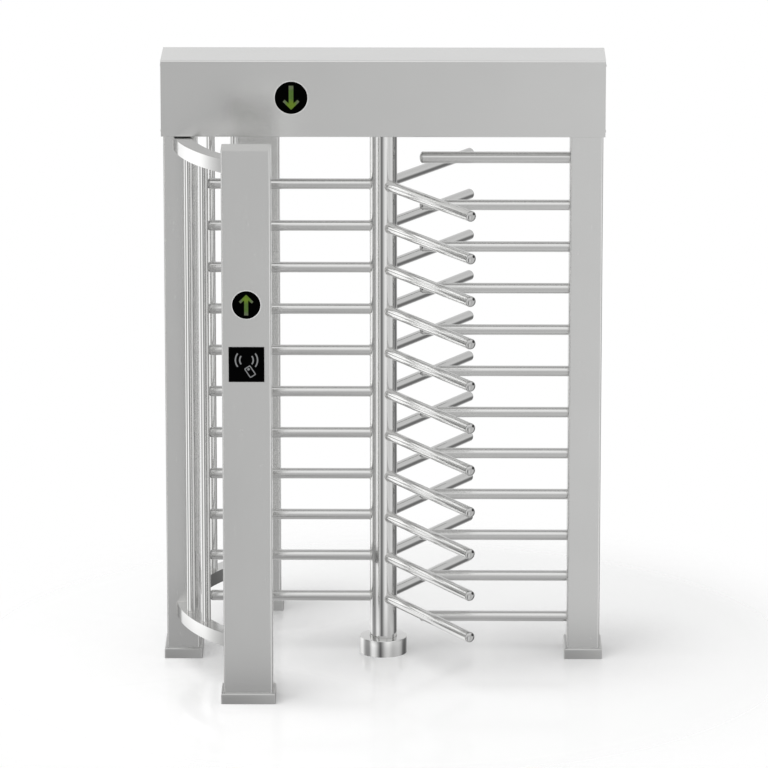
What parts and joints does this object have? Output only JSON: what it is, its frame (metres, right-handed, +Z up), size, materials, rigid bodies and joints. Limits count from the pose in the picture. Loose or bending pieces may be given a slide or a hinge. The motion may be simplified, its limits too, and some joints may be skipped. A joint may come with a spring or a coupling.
{
  "type": "full height turnstile",
  "caption": "Full height turnstile for one walkway: a three wing rotor turns between a fixed comb and a curved tube barrier, under a header box with lamps, card readers and a ratchet.",
  "frame": {"origin": "on the floor at the rotor's axis, which is also the middle of the footprint", "axes": "+X towards the fixed comb and its post, -Y towards the front with its card reader, +Z up"},
  "size_m": [1.648, 1.39, 2.3],
  "materials": {
    "header_steel": "satin brushed",
    "post_steel": "satin brushed along the height",
    "shoe_steel": "satin",
    "band_steel": "satin, fine grain along the curve",
    "tube_steel": "polished",
    "cap_steel": "polished",
    "pole_steel": "polished",
    "collar_steel": "polished",
    "galvanised_plate": "dull galvanised",
    "machined_steel": "machined",
    "bearing_steel": "ground",
    "bronze_bush": "machined",
    "lock_metal": "bright",
    "solenoid_blue": "semi gloss",
    "sensor_black": "matte",
    "board_green": "satin",
    "supply_metal": "satin",
    "lamp_rim": "bright",
    "lens_black": "gloss",
    "arrow_green": "lit",
    "reader_black": "gloss",
    "symbol_grey": "printed"
  },
  "bodies": {
    "turnstile_frame": {"header_shell": "header_steel", "header_ends": "header_steel", "door_hinge_pins": "lock_metal", "mechanism_plate": "galvanised_plate", "mechanism_spacers": "machined_steel", "bearing_housing": "machined_steel", "top_bearing_outer": "bearing_steel", "pawl_pivots": "machined_steel", "front_solenoid": "solenoid_blue", "rear_solenoid": "solenoid_blue", "position_sensor": "sensor_black", "control_board": "board_green", "power_supply": "supply_metal", "left_post": "post_steel", "right_post": "post_steel", "front_post": "post_steel", "rear_post": "post_steel", "post_caps": "post_steel", "side_base_plates": "galvanised_plate", "aux_base_plates": "galvanised_plate", "side_shoes": "shoe_steel", "aux_shoes": "shoe_steel", "front_top_band": "band_steel", "rear_top_band": "band_steel", "front_bottom_band": "band_steel", "rear_bottom_band": "band_steel", "front_barrier_tubes": "tube_steel", "rear_barrier_tubes": "tube_steel", "comb_bars": "tube_steel", "comb_caps": "cap_steel", "floor_pivot_plate": "galvanised_plate", "pivot_pin": "machined_steel", "collar_cover": "collar_steel", "header_lamp_housings": "lamp_rim", "post_lamp_housings": "lamp_rim", "lamp_lenses": "lens_black", "lamp_arrows": "arrow_green", "reader_panels": "reader_black", "reader_symbols": "symbol_grey", "reader_modules": "sensor_black"},
    "door": {"header_door": "header_steel", "door_lock_barrel": "lock_metal"},
    "door_lock": {"door_lock_cam": "lock_metal"},
    "rotor": {"pole": "pole_steel", "spindle": "machined_steel", "spindle_nut": "machined_steel", "ratchet_disc": "machined_steel", "top_bearing_inner": "bearing_steel", "left_arms": "tube_steel", "front_arms": "tube_steel", "rear_arms": "tube_steel", "arm_caps": "cap_steel", "bottom_plug": "machined_steel", "bottom_bush": "bronze_bush"},
    "bearing_cage": {"top_bearing_balls": "bearing_steel"},
    "front_pawl_body": {"front_pawl": "machined_steel"},
    "rear_pawl_body": {"rear_pawl": "machined_steel"},
    "front_plunger_body": {"front_plunger": "machined_steel"},
    "rear_plunger_body": {"rear_plunger": "machined_steel"}
  },
  "joints": [
    {"name": "rotor_spin", "type": "hinge", "parent": "turnstile_frame", "child": "rotor", "pos_m": [0, 0, 0], "axis": [0, 0, 1], "continuous": true},
    {"name": "cage_spin", "type": "hinge", "parent": "turnstile_frame", "child": "bearing_cage", "pos_m": [0, 0, 2.081], "axis": [0, 0, 1], "continuous": true},
    {"name": "header_door_swing", "type": "hinge", "parent": "turnstile_frame", "child": "door", "pos_m": [0.235, 0.1373, 2.268], "axis": [1, 0, 0], "range_deg": [0, 95]},
    {"name": "door_lock_turn", "type": "hinge", "parent": "door", "child": "door_lock", "pos_m": [0.235, 0.132, 2.067], "axis": [0, 1, 0], "range_deg": [0, 90]},
    {"name": "front_pawl_swing", "type": "hinge", "parent": "turnstile_frame", "child": "front_pawl_body", "pos_m": [-0.1205, -0.085, 2.115], "axis": [0, 0, -1], "range_deg": [0, 8]},
    {"name": "rear_pawl_swing", "type": "hinge", "parent": "turnstile_frame", "child": "rear_pawl_body", "pos_m": [0.1205, 0.085, 2.115], "axis": [0, 0, -1], "range_deg": [0, 8]},
    {"name": "front_plunger_slide", "type": "slide", "parent": "turnstile_frame", "child": "front_plunger_body", "axis": [1, 0, 0], "range_m": [0, 0.0063]},
    {"name": "rear_plunger_slide", "type": "slide", "parent": "turnstile_frame", "child": "rear_plunger_body", "axis": [-1, 0, 0], "range_m": [0, 0.0063]}
  ],
  "couplings": [
    {"joint": "cage_spin", "follows": "rotor_spin", "ratio": 0.4},
    {"joint": "front_plunger_slide", "follows": "front_pawl_swing", "m_per_rad": 0.045},
    {"joint": "rear_plunger_slide", "follows": "rear_pawl_swing", "m_per_rad": 0.045}
  ]
}
